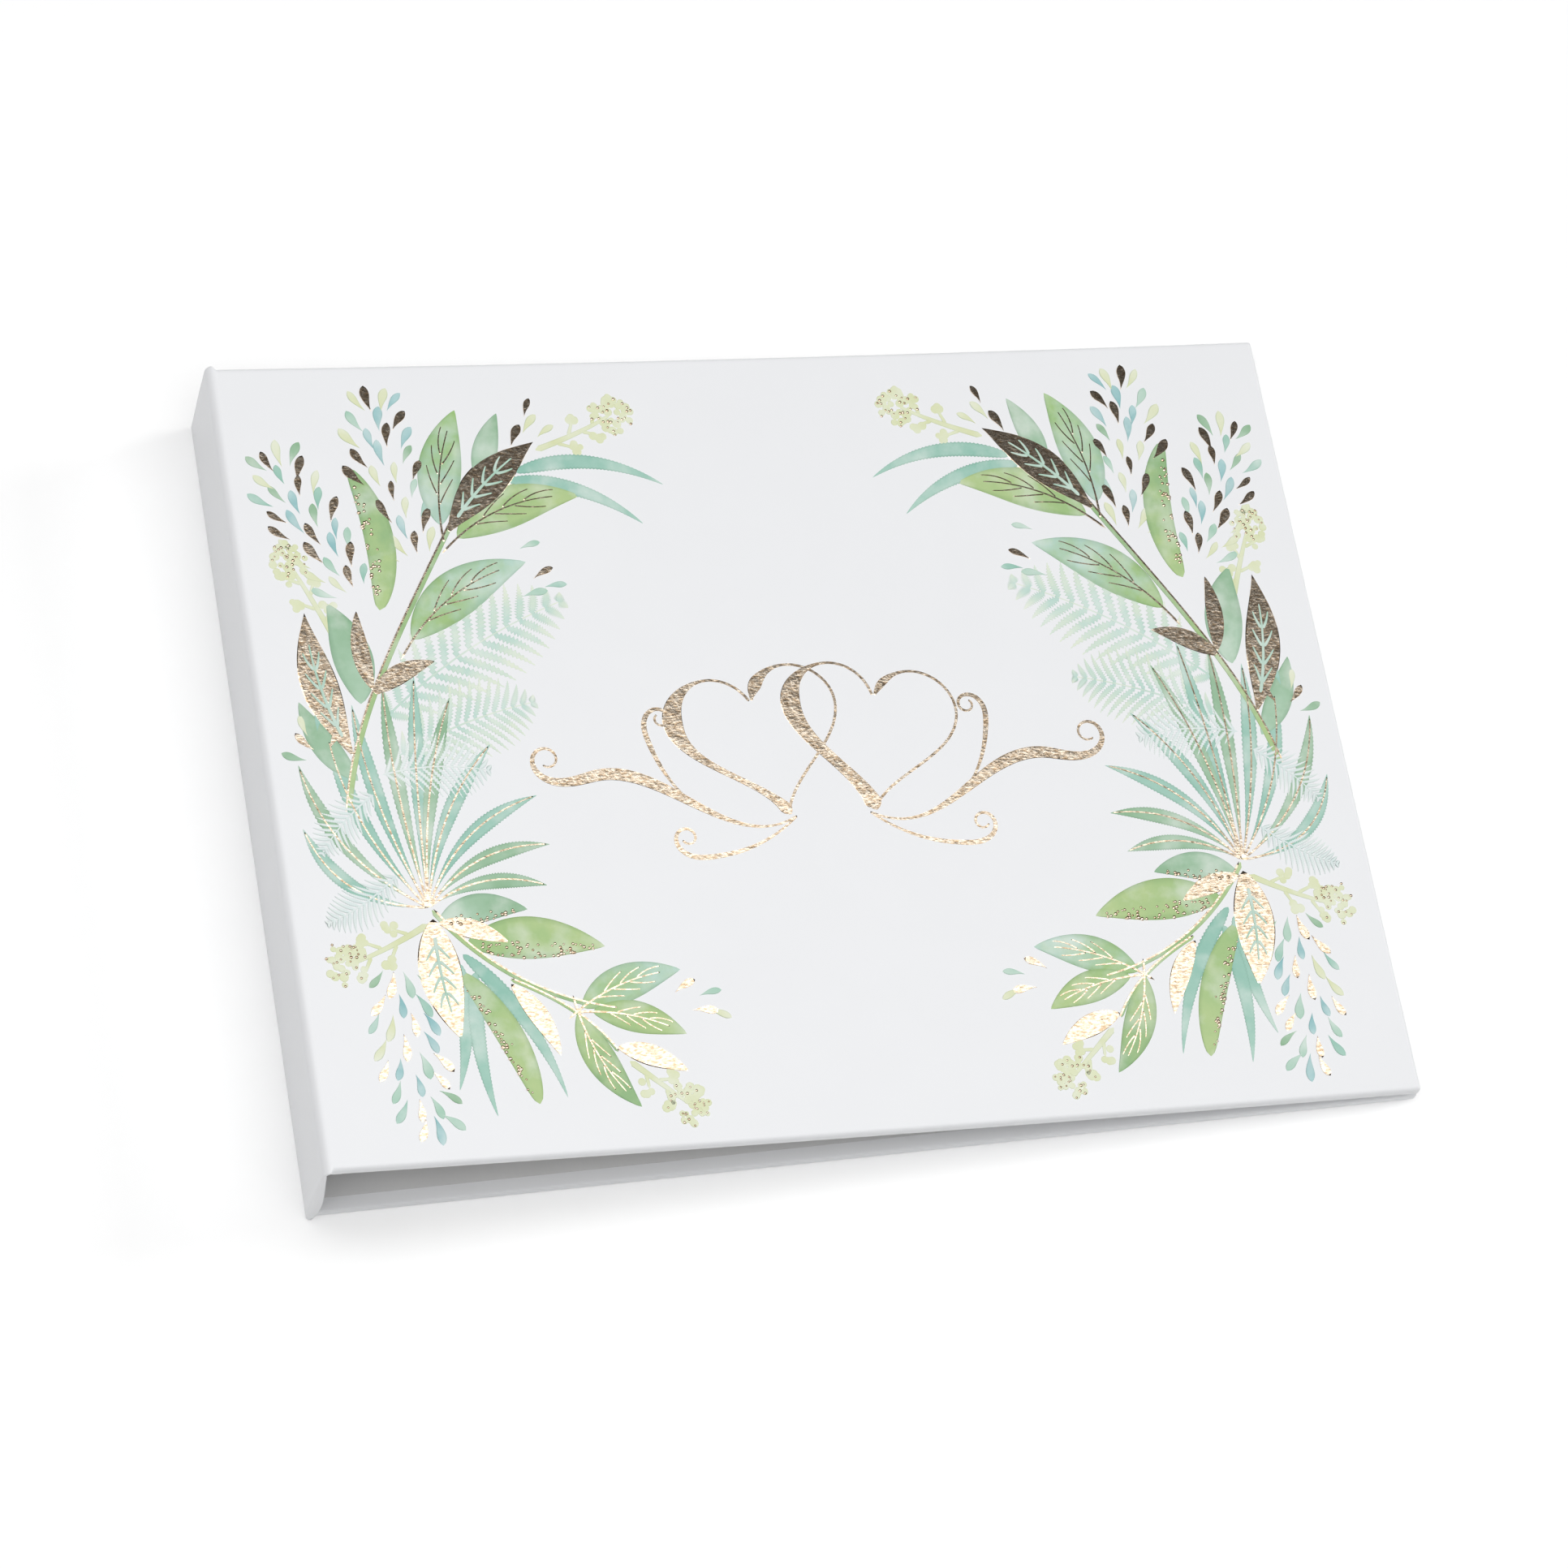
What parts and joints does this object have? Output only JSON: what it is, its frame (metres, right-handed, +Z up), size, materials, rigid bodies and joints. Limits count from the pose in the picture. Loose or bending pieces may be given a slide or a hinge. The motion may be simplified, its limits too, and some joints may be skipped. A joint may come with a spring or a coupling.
{
  "type": "wedding guest book",
  "caption": "Landscape ring-bound wedding guest book: a paper-wrapped hard case with a flat spine, opening on two creases, with loose punched leaves.",
  "frame": {"origin": "centre of the closed book's bounding box in plan, on the surface it lies on", "axes": "+X from the spine to the fore-edge, +Y from the tail to the head, +Z up through the front cover"},
  "size_m": [0.2363, 0.1792, 0.0279],
  "materials": {
    "wrap_paper": "matte laminated white covering paper",
    "liner_paper": "uncoated white lining paper",
    "greyboard": "plain grey board",
    "leaf_paper": "smooth uncoated ivory white",
    "plated_steel": "nickel plated",
    "blade_steel": "plain rolled"
  },
  "bodies": {
    "back_cover": {"back_board": "greyboard", "back_liner": "liner_paper", "back_wrap": "wrap_paper", "mounting_rivets": "plated_steel", "ring_plate": "plated_steel"},
    "spine": {"spine_board": "greyboard", "spine_liner": "liner_paper", "spine_wrap": "wrap_paper", "front_crease": "wrap_paper", "back_crease": "wrap_paper"},
    "front_cover": {"front_board": "greyboard", "front_liner": "liner_paper", "front_wrap": "wrap_paper"},
    "right_rings": {"right_carrier": "blade_steel", "tail_ring_right": "plated_steel", "middle_ring_right": "plated_steel", "head_ring_right": "plated_steel"},
    "left_rings": {"left_carrier": "blade_steel", "tail_ring_left": "plated_steel", "middle_ring_left": "plated_steel", "head_ring_left": "plated_steel"},
    "tail_lever": {"tail_lever": "plated_steel"},
    "head_lever": {"head_lever": "plated_steel"},
    "title_leaf": {"title_leaf": "leaf_paper"},
    "guest_leaf_1": {"guest_leaf_1": "leaf_paper"},
    "guest_leaf_2": {"guest_leaf_2": "leaf_paper"},
    "guest_leaf_3": {"guest_leaf_3": "leaf_paper"},
    "guest_leaf_4": {"guest_leaf_4": "leaf_paper"},
    "guest_leaf_5": {"guest_leaf_5": "leaf_paper"},
    "guest_leaf_6": {"guest_leaf_6": "leaf_paper"},
    "guest_leaf_7": {"guest_leaf_7": "leaf_paper"}
  },
  "joints": [
    {"name": "front_hinge", "type": "hinge", "parent": "spine", "child": "front_cover", "pos_m": [-0.11714, 0, 0.028], "axis": [0, -1, 0], "range_deg": [0, 93.2]},
    {"name": "spine_hinge", "type": "hinge", "parent": "back_cover", "child": "spine", "pos_m": [-0.11815, 0, 0], "axis": [0, -1, 0], "range_deg": [0, 92.2]},
    {"name": "ring_open", "type": "hinge", "parent": "back_cover", "child": "right_rings", "pos_m": [-0.09495, 0, 0.0053], "axis": [0, 1, 0], "range_deg": [0, 8.5]},
    {"name": "left_ring_open", "type": "hinge", "parent": "back_cover", "child": "left_rings", "pos_m": [-0.10934, 0, 0.0053], "axis": [0, -1, 0], "range_deg": [0, 8.6]},
    {"name": "tail_lever_press", "type": "hinge", "parent": "back_cover", "child": "tail_lever", "pos_m": [-0.10214, -0.0671, 0.0049], "axis": [1, 0, 0], "range_deg": [0, 13.1]},
    {"name": "head_lever_press", "type": "hinge", "parent": "back_cover", "child": "head_lever", "pos_m": [-0.10214, 0.0671, 0.0049], "axis": [-1, 0, 0], "range_deg": [0, 13.1]},
    {"name": "title_leaf_turn", "type": "hinge", "parent": "back_cover", "child": "title_leaf", "pos_m": [-0.10214, 0, 0.012], "axis": [0, -1, 0], "range_deg": [0, 184]},
    {"name": "guest_leaf_1_turn", "type": "hinge", "parent": "back_cover", "child": "guest_leaf_1", "pos_m": [-0.10214, 0, 0.012], "axis": [0, -1, 0], "range_deg": [0, 184]},
    {"name": "guest_leaf_2_turn", "type": "hinge", "parent": "back_cover", "child": "guest_leaf_2", "pos_m": [-0.10214, 0, 0.012], "axis": [0, -1, 0], "range_deg": [0, 184]},
    {"name": "guest_leaf_3_turn", "type": "hinge", "parent": "back_cover", "child": "guest_leaf_3", "pos_m": [-0.10214, 0, 0.012], "axis": [0, -1, 0], "range_deg": [0, 184]},
    {"name": "guest_leaf_4_turn", "type": "hinge", "parent": "back_cover", "child": "guest_leaf_4", "pos_m": [-0.10214, 0, 0.012], "axis": [0, -1, 0], "range_deg": [0, 184]},
    {"name": "guest_leaf_5_turn", "type": "hinge", "parent": "back_cover", "child": "guest_leaf_5", "pos_m": [-0.10214, 0, 0.012], "axis": [0, -1, 0], "range_deg": [0, 184]},
    {"name": "guest_leaf_6_turn", "type": "hinge", "parent": "back_cover", "child": "guest_leaf_6", "pos_m": [-0.10214, 0, 0.012], "axis": [0, -1, 0], "range_deg": [0, 184]},
    {"name": "guest_leaf_7_turn", "type": "hinge", "parent": "back_cover", "child": "guest_leaf_7", "pos_m": [-0.10214, 0, 0.012], "axis": [0, -1, 0], "range_deg": [0, 184]}
  ],
  "couplings": [
    {"joint": "spine_hinge", "follows": "front_hinge", "ratio": 0.9877},
    {"joint": "left_ring_open", "follows": "ring_open", "ratio": 1},
    {"joint": "tail_lever_press", "follows": "ring_open", "ratio": 1.5294},
    {"joint": "head_lever_press", "follows": "ring_open", "ratio": 1.5294},
    {"joint": "title_leaf_turn", "follows": "front_hinge", "ratio": 1.971},
    {"joint": "guest_leaf_1_turn", "follows": "front_hinge", "ratio": 1.968},
    {"joint": "guest_leaf_2_turn", "follows": "front_hinge", "ratio": 1.965},
    {"joint": "guest_leaf_3_turn", "follows": "front_hinge", "ratio": 1.962},
    {"joint": "guest_leaf_4_turn", "follows": "front_hinge", "ratio": 1.959},
    {"joint": "guest_leaf_5_turn", "follows": "front_hinge", "ratio": 1.956},
    {"joint": "guest_leaf_6_turn", "follows": "front_hinge", "ratio": 1.953},
    {"joint": "guest_leaf_7_turn", "follows": "front_hinge", "ratio": 1.95}
  ]
}
